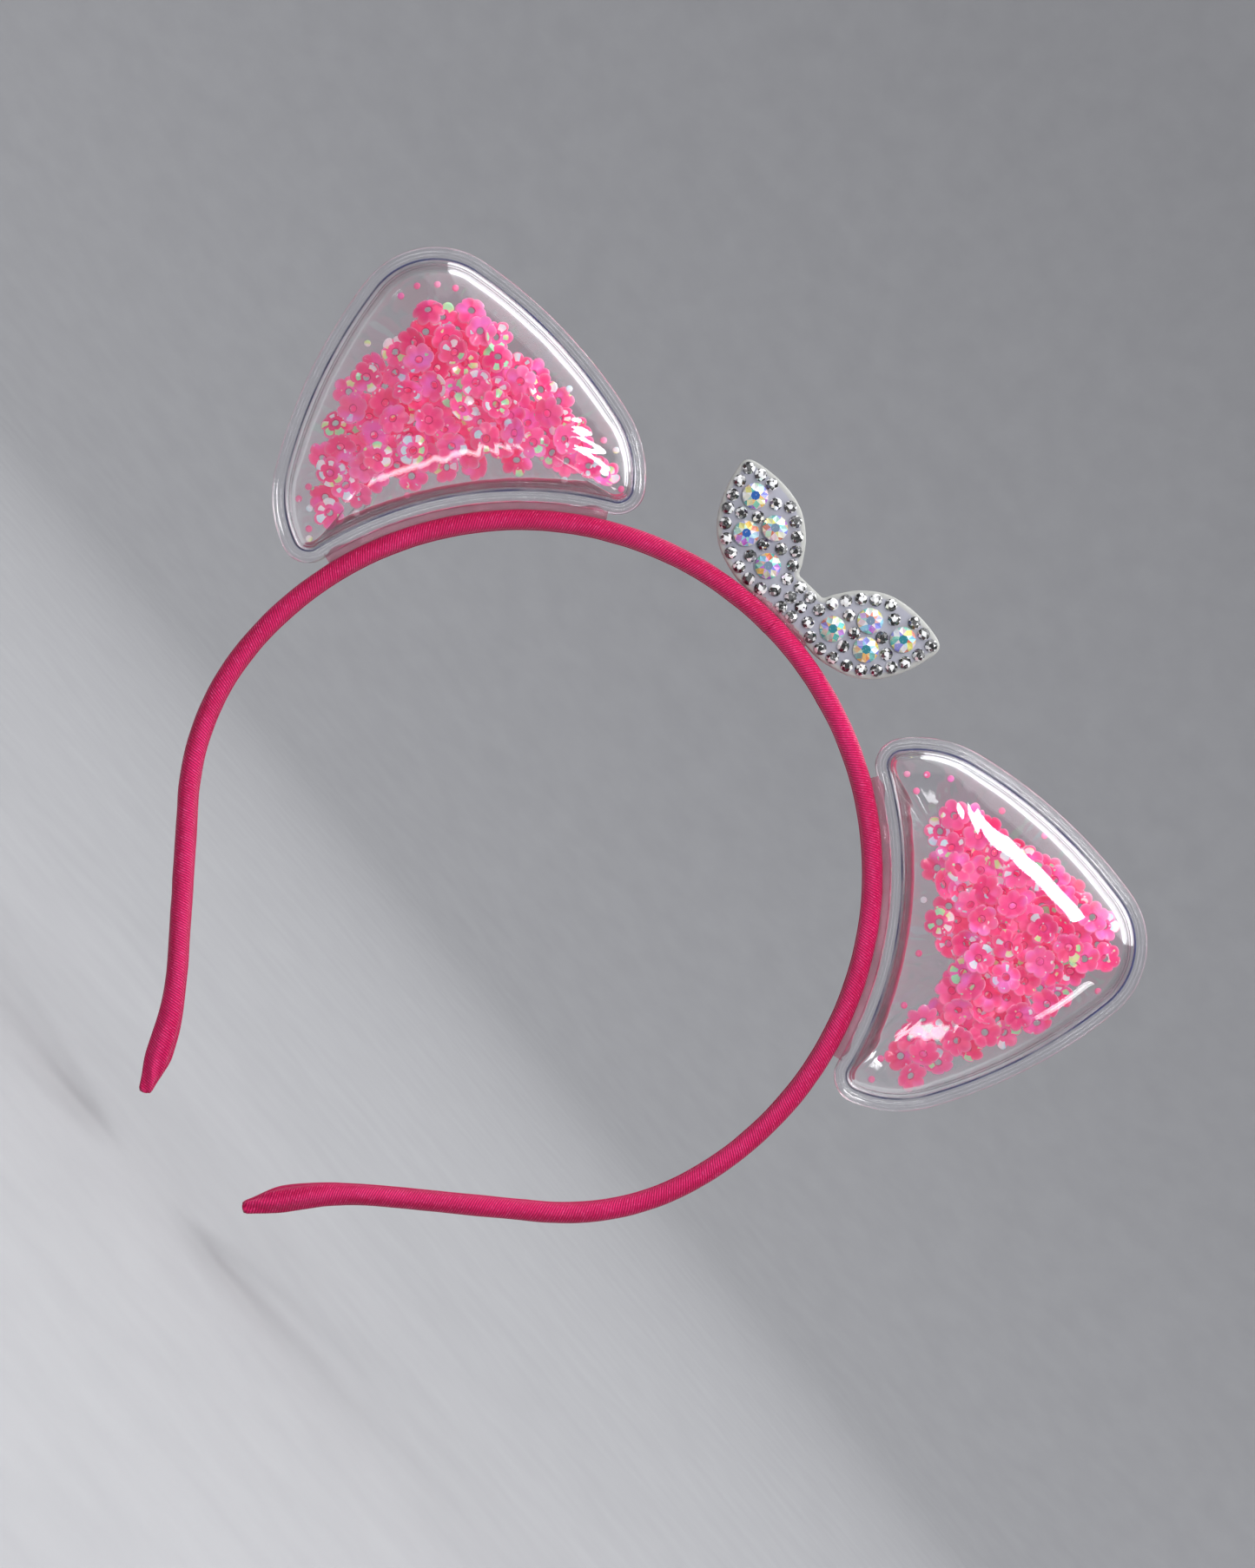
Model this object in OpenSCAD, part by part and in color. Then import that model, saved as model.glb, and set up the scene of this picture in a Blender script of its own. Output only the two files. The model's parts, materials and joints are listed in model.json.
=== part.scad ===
// Animal ears headband: a satin-wrapped hoop with two clear ears full of loose sequins and a stone bow.
// Origin: top of the hoop's inner face, where it sits on the head. +Z up, -Y to the front, +X the wearer's left.

/* [Hoop] */
// Inner radius of the crown arc
crown_r = 55.6; // [50:0.2:75]
// Half angle of the crown arc, from the top down to the flex line
crown_half_angle = 100; // [95:1:110]
// Inner radius of the arc below the flex line
temple_r = 41; // [34:1:50]
// Angle that the temple arc turns through
temple_angle = 36; // [28:1:40]
// Length of the straight stretch of each leg
leg_length = 26; // [20:1:32]
// Radius of the outward flare near each tip
flare_r = 60; // [50:5:200]
// Angle of the flare
flare_angle = 14; // [3:1:16]
// Thickness of the wrapped band, inside to outside
band_t = 3.2; // [2.8:0.1:4.4]
// Width of the wrapped band, front to back
band_w = 6.2; // [5:0.1:10]
// Thickness of the satin wrap
wrap_t = 0.6; // [0.4:0.1:0.9]
// Length of each pinched satin tip
tip_length = 8; // [6:0.5:12]
// Gap at each flex line, which lets a leg bend outward
flex_gap = 0.5; // [0.4:0.1:1]

/* [Ears] */
// Direction of the left ear's middle, from the top towards the left
left_ear_angle = 58.5; // [52:0.5:64]
// Direction of the right ear's middle, from the top towards the right
right_ear_angle = 48; // [45:0.5:64]
// Height of an ear, from the glue line to its tip
ear_height = 42.6; // [34:0.2:54]
// Radius of the ear's tip
ear_tip_r = 14.2; // [12:0.2:17]
// Radius of the ear's long sides
ear_side_r = 83; // [70:1:100]
// Radius of the ear's round shoulders
ear_shoulder_r = 19.7; // [18:0.1:22]
// Radius of the ear's bottom corners
ear_corner_r = 4.5; // [3.4:0.1:5.5]
// Height that each shell is puffed out from the weld
puff = 6.6; // [5:0.2:9]
// Width of the flat welded rim
weld_w = 2.2; // [1.5:0.1:3]
// Wall of each clear shell
shell_t = 0.35; // [0.25:0.05:0.6]

/* [Sequins] */
// Diameter of a flower sequin
flower_d = 5.2; // [4:0.1:6]
// Diameter of the hole in a flower sequin
flower_hole_d = 1.1; // [0.8:0.1:1.4]
// Diameter of a round dot
dot_d = 1.1; // [0.9:0.1:1.6]
// Thickness of the sequin film
film_t = 0.2; // [0.15:0.05:0.3]
// Distance between neighbouring sequins in a layer
sequin_pitch = 5.6; // [5.4:0.1:8]
// Distance between layers of sequins, front to back
layer_pitch = 2; // [1.6:0.1:3]
// Distance that the loose fill can slide
fill_travel = 2; // [1:0.5:2.5]

/* [Bow] */
// Direction of the bow's middle, from the top towards the left
bow_angle = 4; // [0:1:8]
// Height of the bow's middle above the band
bow_lift = 3.45; // [3.4:0.05:6]
// Thickness of the backing film
backing_t = 1.2; // [0.8:0.1:2]
// Diameter of the large stones
large_stone_d = 4.3; // [3.8:0.1:4.4]
// Diameter of the small stones
small_stone_d = 2.1; // [1.6:0.1:2.1]

/* [Glue] */
// Thickness of the glue between an ear and the band
glue_gap = 1.2; // [1:0.1:2]
// Width of the glue, front to back
glue_w = 3.6; // [2:0.2:5]

/* [Hidden] */
$fn = 64;

band_outer_r = crown_r + band_t;
ear_base_r = band_outer_r + glue_gap;
flex_half = flex_gap / 2 / (crown_r + band_t / 2) * 180 / PI;
weld_t = 2 * shell_t;

// Everything is drawn in the hoop's plane, centred on the crown arc, and then stood upright.
module upright() {
    translate([0, 0, -crown_r]) rotate([90, 0, 0]) children();
}

module mirrored(flip) {
    mirror([flip ? 1 : 0, 0, 0]) children();
}

// Hoop ------------------------------------------------------------------

// A flat bar's section with round edges: x runs outward from the inner face, y from back to front.
module flat_section(inset) {
    t = band_t - 2 * inset;
    w = band_w - 2 * inset;
    translate([band_t / 2, 0]) {
        square([t, w - t], center = true);
        for (side = [-1, 1]) translate([0, side * (w - t) / 2]) circle(d = t);
    }
}

module core_section() {
    flat_section(wrap_t);
}

module cover_section() {
    difference() {
        flat_section(0);
        flat_section(wrap_t);
    }
}

module crown_arc() {
    sweep = 2 * (crown_half_angle - flex_half);
    rotate([0, 0, 90 - sweep / 2]) rotate_extrude(angle = sweep) translate([crown_r, 0]) children();
}

// Each of these puts its children at the end of one stretch of the right leg, with x still outward.
module at_flex_line() {
    rotate([0, 0, 90 - crown_half_angle]) translate([crown_r - temple_r, 0, 0]) children();
}

module after_temple() {
    at_flex_line() rotate([0, 0, -temple_angle]) translate([temple_r, 0, 0]) children();
}

module after_leg() {
    after_temple() translate([flare_r, -leg_length, 0]) children();
}

module after_flare() {
    after_leg() rotate([0, 0, flare_angle]) translate([-flare_r, 0, 0]) children();
}

module leg_run() {
    start = flex_half * crown_r / temple_r;
    at_flex_line() rotate([0, 0, -temple_angle])
        rotate_extrude(angle = temple_angle - start) translate([temple_r, 0]) children();
    after_temple() rotate([90, 0, 0]) linear_extrude(leg_length) children();
    after_leg() rotate([0, 0, 180])
        rotate_extrude(angle = flare_angle) translate([flare_r, 0]) mirror([1, 0]) children();
}

module crown_core() {
    color("#8d1c47") upright() crown_arc() core_section();
}

module crown_cover() {
    color("#d8245f") upright() crown_arc() cover_section();
}

module leg_core(flip) {
    color("#8d1c47") upright() mirrored(flip) leg_run() core_section();
}

module leg_cover(flip) {
    color("#d8245f") upright() mirrored(flip) leg_run() cover_section();
}

// One slice of the tip: how far along it is, how thick and how wide.
module tip_slice(along, t, w) {
    translate([band_t / 2, -along, 0]) rotate([90, 0, 0]) linear_extrude(0.2) {
        square([t, w - t], center = true);
        for (side = [-1, 1]) translate([0, side * (w - t) / 2]) circle(d = t, $fn = 24);
    }
}

module tip_fold(flip) {
    swell = band_t + 1;
    pinch = 1.4;
    color("#d8245f") upright() mirrored(flip) after_flare() {
        hull() {
            tip_slice(0, band_t, band_w);
            tip_slice(tip_length * 0.4, swell, band_w + 0.4);
        }
        hull() {
            tip_slice(tip_length * 0.4, swell, band_w + 0.4);
            tip_slice(tip_length - 0.2, pinch, band_w + 1);
        }
    }
}

// Ear outline -----------------------------------------------------------

// In an ear's own plane, x runs along the band away from the bow, and y outward from the hoop's centre.
// Arcs of the right half from the tip to the corner, each [centre, radius, first and last normal angle].
tip_turn = 43.5;
side_turn = 66.7;
function toward(a) = [sin(a), cos(a)];
function bearing(v) = (atan2(v.x, v.y) + 360) % 360;
tip_c = [0, ear_base_r + ear_height - ear_tip_r];
side_c = tip_c + (ear_tip_r - ear_side_r) * toward(tip_turn);
shoulder_c = side_c + (ear_side_r - ear_shoulder_r) * toward(side_turn);
// The corner arc touches the shoulder arc from inside and the base arc from outside.
corner_reach = ear_shoulder_r - ear_corner_r;
corner_orbit = ear_base_r + ear_corner_r;
shoulder_dist = norm(shoulder_c);
corner_along = (corner_orbit * corner_orbit + shoulder_dist * shoulder_dist - corner_reach * corner_reach)
    / (2 * shoulder_dist);
corner_off = sqrt(corner_orbit * corner_orbit - corner_along * corner_along);
shoulder_dir = shoulder_c / shoulder_dist;
corner_c = corner_along * shoulder_dir + corner_off * [shoulder_dir.y, -shoulder_dir.x];
corner_turn = bearing(corner_c - shoulder_c);
base_turn = bearing(-corner_c);
base_half = bearing(corner_c);

function arc_points(c, r, a1, a2, n) = [for (i = [0 : n - 1]) c + r * toward(a1 + (a2 - a1) * i / n)];

function half_outline(inset) = concat(
    arc_points(tip_c, ear_tip_r - inset, 0, tip_turn, 4),
    arc_points(side_c, ear_side_r - inset, tip_turn, side_turn, 4),
    arc_points(shoulder_c, ear_shoulder_r - inset, side_turn, corner_turn, 5),
    arc_points(corner_c, ear_corner_r - inset, corner_turn, base_turn, 5),
    arc_points([0, 0], ear_base_r + inset, base_half, 0, 6)
);

// The whole outline, clockwise from the tip.
function ear_outline(inset) =
    let (half = half_outline(inset), n = len(half))
    concat(
        half,
        [[0, ear_base_r + inset]],
        [for (i = [n - 1 : -1 : 1]) [-half[i].x, half[i].y]]
    );

module in_ear(flip) {
    angle = flip ? left_ear_angle : right_ear_angle;
    upright() mirrored(flip) rotate([0, 0, -angle]) children();
}

// Ear shells ------------------------------------------------------------

ear_middle = [0, ear_base_r + 0.42 * ear_height];
// Sizes of the rings that round the puff off, from the weld's inner edge to the middle
ring_sizes = [1, 0.96, 0.86, 0.7, 0.48, 0.24];
function puff_share(s) = sqrt(1 - pow(s, 2.4));

function ring(inset, size, z) = [
    for (p = ear_outline(inset)) let (q = ear_middle + size * (p - ear_middle)) [q.x, q.y, z]
];

// The outer skin from the rim inward, then the inner skin from the middle outward.
function shell_rings() = concat(
    [ring(0, 1, 0), ring(0, 1, shell_t)],
    [for (s = ring_sizes) ring(weld_w, s, shell_t + (puff - shell_t) * puff_share(s))],
    [for (i = [len(ring_sizes) - 1 : -1 : 0])
        let (s = ring_sizes[i])
        ring(weld_w + shell_t, s, (puff - shell_t) * puff_share(s))]
);

// Joins each ring to the next and the last to the first; the two smallest rings meet in flat middles.
module ear_shell() {
    rings = shell_rings();
    n = len(rings[0]);
    outer_last = 1 + len(ring_sizes);
    inner_first = outer_last + 1;
    count = len(rings);
    points = [for (r = rings) each r];
    walls = [
        for (k = [0 : count - 1]) if (k != outer_last)
            for (i = [0 : n - 1])
                let (j = (i + 1) % n, a = k * n, b = ((k + 1) % count) * n)
                each [[a + i, a + j, b + j], [a + i, b + j, b + i]]
    ];
    outer_cap = [for (i = [0 : n - 1]) outer_last * n + i];
    inner_cap = [for (i = [n - 1 : -1 : 0]) inner_first * n + i];
    polyhedron(points, concat(walls, [outer_cap, inner_cap]));
}

module front_shell(flip) {
    color("#f3d9e4", 0.35) in_ear(flip) ear_shell();
}

module back_shell(flip) {
    color("#f3d9e4", 0.35) in_ear(flip) mirror([0, 0, 1]) ear_shell();
}

// Glue under each ear ---------------------------------------------------

blob_angle = 3;
glue_half = base_half - 0.5;

// A bead's section: its foot on the band, its top past the edge of the weld
function bead_section(width, height) = [[0, -width / 2], [0, width / 2], [height, 0.5], [height, -0.5]];

// A length of bead round the band, from one bearing to the next
module bead(first, last, width, height) {
    rotate([0, 0, 90 - last]) rotate_extrude(angle = last - first)
        translate([band_outer_r, 0]) polygon(bead_section(width, height));
}

module ear_glue(flip) {
    color("#f2b6c4", 0.6) in_ear(flip) difference() {
        union() {
            bead(-glue_half, glue_half, glue_w, glue_gap + 0.6);
            bead(-glue_half, blob_angle - glue_half, glue_w + 1, glue_gap + 1);
            bead(glue_half - blob_angle, glue_half, glue_w + 1, glue_gap + 1);
        }
        translate([0, 0, -shell_t]) linear_extrude(weld_t) polygon(ear_outline(0));
    }
}

// Loose fill ------------------------------------------------------------

// Outlines of the heap in each ear, in the ear's own plane, and the way it can slide
left_heap = [[-27, 66], [-20, 83], [-9, 95], [2, 94], [4, 89], [12, 87], [20, 78], [27, 66], [25, 57],
    [0, 60], [-25, 57]];
right_heap = [[-20, 63], [-20, 72], [-13, 86], [-6, 97], [5, 100], [17, 88], [26, 75], [28, 66], [20, 61],
    [14, 68], [4, 73], [-1, 64], [-8, 62]];
left_way = [0, 1];
right_way = [-0.67, -0.74];

function clear_of(p, others, gap) = min([for (q = others) norm(p - q)]) > gap;

function cross2(a, b) = a.x * b.y - a.y * b.x;

// How far out a point is, from 0 in the middle of the ear to 1 at the inner edge of the weld.
foot = ear_outline(weld_w + shell_t);
function edge_share(p) =
    let (v = p - ear_middle, n = len(foot))
    [for (i = [0 : n - 1])
        let (a = foot[i] - ear_middle, b = foot[(i + 1) % n] - ear_middle)
        if (cross2(a, v) <= 0 && cross2(v, b) < 0) cross2(v, b - a) / cross2(a, b - a)][0];

// The room on each side of the weld's plane at a point, or nothing outside the pocket.
function room_at(p) =
    let (s = edge_share(p))
    s == undef || s >= 1 ? 0 : (puff - shell_t) * puff_share(s);

function inside(p, loop) =
    let (n = len(loop), hits = [
        for (i = [0 : n - 1])
            let (a = loop[i], b = loop[(i + 1) % n])
            if ((a.y > p.y) != (b.y > p.y) && p.x < a.x + (b.x - a.x) * (p.y - a.y) / (b.y - a.y)) 1
    ])
    len(hits) % 2 == 1;

// A repeatable number from -1 to 1 for each sequin
function scatter(i, k) = let (v = sin(i * 78.233 + k * 37.719) * 43.758) 2 * (v - floor(v)) - 1;

max_tilt = 12;
rim_space = 0.3;
// A disc of radius r at height z has room at p, and still has it after sliding.
function fits(p, r, z, way) =
    let (need = abs(z) + r * sin(max_tilt) + film_t)
    min([
        for (q = [p, p + fill_travel * way], turn = [0 : 45 : 315]) room_at(q + (r + rim_space) * toward(turn))
    ]) > need;

layers = [for (k = [-2 : 2]) k * layer_pitch];
function flower_spots(heap, way) = [
    for (k = [0 : len(layers) - 1], row = [-5 : 5], col = [-7 : 7])
        let (
            shift = sequin_pitch * [((row % 2) + k * 0.8) / 2, k * 0.3],
            p = ear_middle + sequin_pitch * [col, row * sqrt(3) / 2] + shift
        )
        if (inside(p, heap) && fits(p, flower_d / 2, layers[k], way)) [p.x, p.y, layers[k]]
];

module flower() {
    lobe_r = flower_d * 0.18;
    difference() {
        linear_extrude(film_t, center = true) {
            circle(r = flower_d / 2 - lobe_r);
            for (i = [0 : 5]) rotate(i * 60) translate([flower_d / 2 - lobe_r, 0]) circle(r = lobe_r);
        }
        cylinder(h = 1, d = flower_hole_d, center = true);
    }
}

function heap_of(flip) = flip ? left_heap : right_heap;
function way_of(flip) = flip ? left_way : right_way;

module flower_sequins(flip) {
    spots = flower_spots(heap_of(flip), way_of(flip));
    tilt = min(max_tilt, asin(min(1, (layer_pitch - film_t) / flower_d)) * 0.5);
    color("#e0447a") in_ear(flip) for (i = [0 : len(spots) - 1])
        translate(spots[i])
            rotate([tilt * scatter(i, 1), tilt * scatter(i, 2), 60 * scatter(i, 3)])
                flower();
}

// Dots lie scattered in two staggered rows round the rim of the pocket, in the middle layer, clear of flowers.
module round_dots(flip) {
    middle_flowers = [for (p = flower_spots(heap_of(flip), way_of(flip))) if (p.z == 0) [p.x, p.y]];
    reach = (flower_d + dot_d) / 2 + rim_space;
    color("#e86a96") in_ear(flip) for (row = [0, 1]) {
        edge = ear_outline(weld_w + shell_t + (1.4 + 1.6 * row) * dot_d);
        for (i = [row : 2 : len(edge) - 1]) {
            spot = edge[i] + 0.2 * dot_d * [scatter(i, 4), scatter(i, 5)];
            if (fits(spot, dot_d / 2, 0, way_of(flip)) && clear_of(spot, middle_flowers, reach))
                translate([spot.x, spot.y, 0]) cylinder(h = film_t, d = dot_d, center = true);
        }
    }
}

// Bow -------------------------------------------------------------------

bow_middle_r = band_outer_r + bow_lift;

module in_bow() {
    upright() rotate([0, 0, bow_angle]) translate([0, bow_middle_r, 0]) rotate([0, 0, 1.3]) children();
}

// Points round the right wing, from the neck's top along the upper edge to the tip and back below.
// The first and last only lead the curve in and out.
wing_points = [[0, 4], [2.5, 3.9], [3.7, 5.8], [6, 8.9], [9.6, 11.6], [14, 12.7], [19, 12.5], [21.9, 11.3],
    [21.6, 7.8], [20.2, 3.9], [17.9, 0.4], [14.4, -2.2], [9, -3.6], [4, -3.3], [1.5, -3.4]];

// A smooth curve through the points, in a few steps each.
function smooth(points, steps) = [
    for (i = [1 : len(points) - 3], k = [0 : steps - 1])
        let (t = k / steps, a = points[i - 1], b = points[i], c = points[i + 1], d = points[i + 2])
        b + 0.5 * t * (c - a) + t * t * (a - 2.5 * b + 2 * c - 0.5 * d) + 0.5 * t * t * t * (3 * (b - c) + d - a)
];

wing_curve = smooth(wing_points, 4);
wing_last = wing_points[len(wing_points) - 2];
bow_outline = concat(
    wing_curve,
    [wing_last],
    [[-wing_last.x, wing_last.y]],
    [for (i = [len(wing_curve) - 1 : -1 : 0]) [-wing_curve[i].x, wing_curve[i].y]]
);

module bow_backing() {
    color("#e9e4ee") difference() {
        in_bow() linear_extrude(backing_t, center = true) polygon(bow_outline);
        upright() cylinder(h = 3 * backing_t, r = band_outer_r + 0.1, center = true);
    }
}

// Places of the stones on the right wing; the left wing mirrors them
large_spots = [[16.7, 8.1], [10.75, 6.6], [13.5, 2.75], [7.3, 1.4]];
inner_spots = [[16.4, 4.6], [14, 6], [13.4, 9.5], [7.7, 4.9], [10.3, 3.35], [10.5, 0.6]];
neck_spots = [[1.15, 2.55], [1.15, 0.35], [1.15, -1.85], [3.6, 2.1], [3.75, -0.6]];
// The border row lies this far inside the wing's outline, with this distance from stone to stone
border_inset = 1.4;
border_step = small_stone_d + 0.15;

function normal_in(a, b) = let (d = (b - a) / norm(b - a)) [d.y, -d.x];
fine_curve = smooth(wing_points, 12);
border_curve = [
    for (i = [1 : len(fine_curve) - 2]) fine_curve[i] + border_inset * normal_in(fine_curve[i - 1], fine_curve[i + 1])
];

// The points of a curve that are one step apart, from point i on.
function strung(curve, last, i) =
    i >= len(curve) ? []
    : norm(curve[i] - last) < border_step ? strung(curve, last, i + 1)
    : concat([curve[i]], strung(curve, curve[i], i + 1));

border_spots = strung(border_curve, neck_spots[3], 0);

// A flat-backed stone: a short girdle and a cut crown.
module stone(d) {
    girdle = 0.12 * d;
    crown = 0.26 * d;
    cylinder(h = girdle, d = d);
    translate([0, 0, girdle]) cylinder(h = crown, d1 = d, d2 = 0.5 * d);
}

module on_backing(spots, d) {
    in_bow() for (side = [0, 1]) mirrored(side == 1)
        for (p = spots) translate([p.x, p.y, backing_t / 2]) stone(d);
}

module bow_large_stones() {
    color("#d9c7f2") on_backing(large_spots, large_stone_d);
}

module bow_small_stones() {
    near_large = (large_stone_d + small_stone_d) / 2;
    rows = concat(inner_spots, neck_spots);
    border = [
        for (p = border_spots) if (clear_of(p, large_spots, near_large) && clear_of(p, rows, small_stone_d)) p
    ];
    color("#f2f4f8") on_backing(concat(rows, border), small_stone_d);
}

// A fillet on each side of the backing, along the band.
module bow_glue() {
    reach = 6;
    color("#f2b6c4", 0.6) upright() rotate([0, 0, 90 + bow_angle - reach]) for (side = [-1, 1])
        rotate_extrude(angle = 2 * reach) translate([band_outer_r, side * backing_t / 2])
            polygon([[0, 0], [0.5, 0], [0, side * 0.8]]);
}

crown_core();
leg_core(true);  // left_leg_core
leg_core(false);  // right_leg_core
crown_cover();
leg_cover(true);  // left_leg_cover
leg_cover(false);  // right_leg_cover
tip_fold(true);  // left_tip_fold
tip_fold(false);  // right_tip_fold
front_shell(true);  // left_ear_front_shell
back_shell(true);  // left_ear_back_shell
flower_sequins(true);  // left_flower_sequins
round_dots(true);  // left_round_dots
ear_glue(true);  // left_ear_glue
front_shell(false);  // right_ear_front_shell
back_shell(false);  // right_ear_back_shell
flower_sequins(false);  // right_flower_sequins
round_dots(false);  // right_round_dots
ear_glue(false);  // right_ear_glue
bow_backing();
bow_large_stones();
bow_small_stones();
bow_glue();
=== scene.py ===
"""The looks of the animal ears headband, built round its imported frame."""
import json
import math

import bmesh
import bpy
import numpy as np
from mathutils import Matrix, Vector


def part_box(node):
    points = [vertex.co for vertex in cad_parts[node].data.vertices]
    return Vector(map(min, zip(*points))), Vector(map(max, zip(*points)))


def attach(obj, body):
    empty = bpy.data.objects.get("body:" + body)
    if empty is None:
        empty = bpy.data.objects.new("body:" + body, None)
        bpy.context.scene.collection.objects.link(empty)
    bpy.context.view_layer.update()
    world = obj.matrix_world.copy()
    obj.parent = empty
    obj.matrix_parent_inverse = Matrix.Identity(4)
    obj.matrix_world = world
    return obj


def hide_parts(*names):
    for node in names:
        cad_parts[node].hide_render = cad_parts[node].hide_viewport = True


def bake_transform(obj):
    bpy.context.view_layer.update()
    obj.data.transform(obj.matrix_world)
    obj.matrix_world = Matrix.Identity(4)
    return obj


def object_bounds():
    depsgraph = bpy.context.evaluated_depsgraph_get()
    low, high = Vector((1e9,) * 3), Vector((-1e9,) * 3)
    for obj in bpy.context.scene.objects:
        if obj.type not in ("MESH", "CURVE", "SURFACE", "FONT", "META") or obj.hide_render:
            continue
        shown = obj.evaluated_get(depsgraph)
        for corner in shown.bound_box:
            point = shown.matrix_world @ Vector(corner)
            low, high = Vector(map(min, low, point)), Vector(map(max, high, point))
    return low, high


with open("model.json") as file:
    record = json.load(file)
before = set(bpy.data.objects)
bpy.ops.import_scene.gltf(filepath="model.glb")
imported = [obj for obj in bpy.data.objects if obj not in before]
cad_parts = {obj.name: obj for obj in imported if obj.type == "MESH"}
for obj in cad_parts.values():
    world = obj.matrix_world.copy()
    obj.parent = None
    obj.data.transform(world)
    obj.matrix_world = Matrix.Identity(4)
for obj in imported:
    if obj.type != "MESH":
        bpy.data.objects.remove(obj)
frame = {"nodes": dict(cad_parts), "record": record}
cad_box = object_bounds()
MM = 0.001

# Sizes that repeat the design's own, in metres and degrees ---------------------
cover_lo, cover_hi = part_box("crown_cover")
OUTER_R = (cover_hi[0] - cover_lo[0]) / 2
BAND_T = cover_hi[2]
BAND_W = cover_hi[1] - cover_lo[1]
CROWN_R = OUTER_R - BAND_T
CROWN_HALF_ANGLE = 100
TEMPLE_R = 41 * MM
TEMPLE_ANGLE = 36
LEG_LENGTH = 26 * MM
FLARE_R = 60 * MM
FLARE_ANGLE = 14
TIP_LENGTH = 8 * MM
WRAP_T = 0.6 * MM
GLUE_GAP = 1.2 * MM
EAR_BASE_R = OUTER_R + GLUE_GAP
EAR_HEIGHT = 42.6 * MM
EAR_TIP_R = 14.2 * MM
EAR_SIDE_R = 83 * MM
EAR_SHOULDER_R = 19.7 * MM
EAR_CORNER_R = 4.5 * MM
EAR_TIP_TURN = 43.5
EAR_SIDE_TURN = 66.7
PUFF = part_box("right_ear_back_shell")[1][1]
WELD_W = 2.2 * MM
SHELL_T = 0.35 * MM
EAR_ANGLES = {"left": 58.5, "right": 48}
BOW_ANGLE = 4
BOW_TURN = 1.3
BOW_MIDDLE_R = OUTER_R + 3.45 * MM
BACKING_T = 1.2 * MM

# One wing of the bow in millimetres. The first and last points only lead the curve in and out.
WING_POINTS = [
    (0, 4), (2.5, 3.9), (3.7, 5.8), (6, 8.9), (9.6, 11.6), (14, 12.7), (19, 12.5), (21.9, 11.3), (21.6, 7.8),
    (20.2, 3.9), (17.9, 0.4), (14.4, -2.2), (9, -3.6), (4, -3.3), (1.5, -3.4),
]

# Camera: face on, rolled, as the object lies in the picture ---------------------
CAMERA_DISTANCE = 0.7067
LENS = 100
SENSOR_WIDTH = 36
CAMERA_ROLL = 49.6
CAMERA_AIM = Vector((0.0004, 0, -0.033))


def standing(place, right, up, back):
    """The matrix of a camera or lamp that looks the other way from back."""
    return Matrix.Translation(place) @ Matrix((right, up, back)).transposed().to_4x4()


def make_camera():
    cam = bpy.data.objects.new("camera", bpy.data.cameras.new("camera"))
    bpy.context.scene.collection.objects.link(cam)
    cam.data.lens = LENS
    cam.data.sensor_width = SENSOR_WIDTH
    cam.data.clip_start = 0.01
    roll = math.radians(CAMERA_ROLL)
    back = Vector((0, -1, 0))
    up = Vector((-math.sin(roll), 0, math.cos(roll)))
    right = up.cross(back)
    cam.matrix_world = standing(CAMERA_AIM + back * CAMERA_DISTANCE, right, up, back)
    bpy.context.scene.camera = cam


make_camera()


# Mesh helpers -------------------------------------------------------------------
def add_object(name, mesh, smooth=True):
    obj = bpy.data.objects.new(name, mesh)
    bpy.context.scene.collection.objects.link(obj)
    mesh.polygons.foreach_set("use_smooth", [smooth] * len(mesh.polygons))
    return obj


def mesh_from(name, verts, faces, attributes=None, smooth=True):
    mesh = bpy.data.meshes.new(name)
    mesh.from_pydata(np.asarray(verts, float).tolist(), [], faces)
    for key, values in (attributes or {}).items():
        layer = mesh.attributes.new(key, "FLOAT", "POINT")
        layer.data.foreach_set("value", np.asarray(values, np.float32).ravel())
    mesh.update()
    return add_object(name, mesh, smooth)


def strip_faces(rows, n, start=0, close_rows=False):
    """Quads between rows of n points, each row closed on itself."""
    faces = []
    last = rows if close_rows else rows - 1
    for r in range(last):
        a, b = start + r * n, start + ((r + 1) % rows) * n
        for i in range(n):
            j = (i + 1) % n
            faces.append((a + i, a + j, b + j, b + i))
    return faces


def fan(ring_start, n, centre, flip=False):
    """Triangles between a row of n points and one more point."""
    faces = []
    for i in range(n):
        a, b = ring_start + i, ring_start + (i + 1) % n
        faces.append((b, a, centre) if flip else (a, b, centre))
    return faces


def fix_normals(obj):
    """Turns every face outward."""
    bm = bmesh.new()
    bm.from_mesh(obj.data)
    bmesh.ops.recalc_face_normals(bm, faces=bm.faces)
    bm.to_mesh(obj.data)
    bm.free()
    return obj


def waves(rng, count, low, high):
    """A few random sine waves, for gentle lumps: returns f(x, y)."""
    freq = rng.uniform(low, high, (count, 2)) * rng.choice([-1, 1], (count, 2))
    phase = rng.uniform(0, 2 * math.pi, count)

    def f(x, y):
        total = 0
        for (fx, fy), p in zip(freq, phase):
            total = total + np.sin(fx * x + fy * y + p)
        return total / count

    return f


def smooth_step(x, low, high):
    t = np.clip((x - low) / (high - low), 0, 1)
    return t * t * (3 - 2 * t)


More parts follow.
